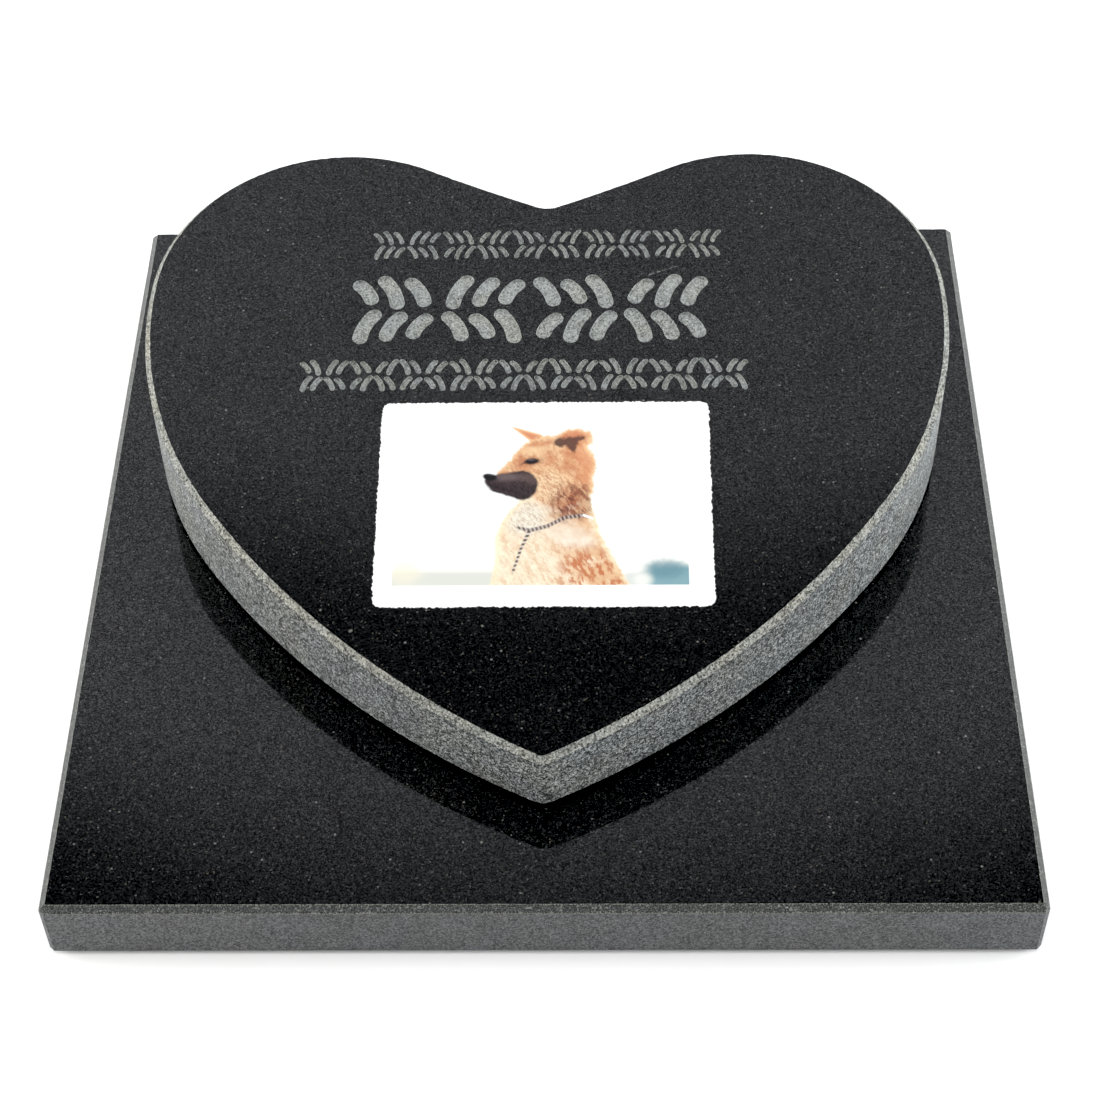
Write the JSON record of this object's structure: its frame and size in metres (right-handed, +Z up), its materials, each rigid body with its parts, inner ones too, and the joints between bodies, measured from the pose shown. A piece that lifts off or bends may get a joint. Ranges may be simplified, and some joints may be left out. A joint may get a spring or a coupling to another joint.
{
  "type": "heart headstone",
  "caption": "Low granite memorial: a wedge-shaped heart with a polished sloping top, a printed picture and blasted strokes, lying flat on a square slab.",
  "frame": {"origin": "underside of the slab, at the middle of its square", "axes": "+Z up, -Y towards the heart's tip (the front), +X to the right of someone who faces the front"},
  "size_m": [0.3, 0.3, 0.0771],
  "materials": {
    "slab_granite": "black granite, polished top, honed sides, ground edges",
    "heart_granite": "black granite, polished top, honed sides, ground edges, blasted strokes",
    "white_print": "printed resin layer, satin, white with a tan picture"
  },
  "bodies": {
    "root": {"base_slab": "slab_granite", "heart_stone": "heart_granite", "photo_print": "white_print"}
  },
  "joints": []
}
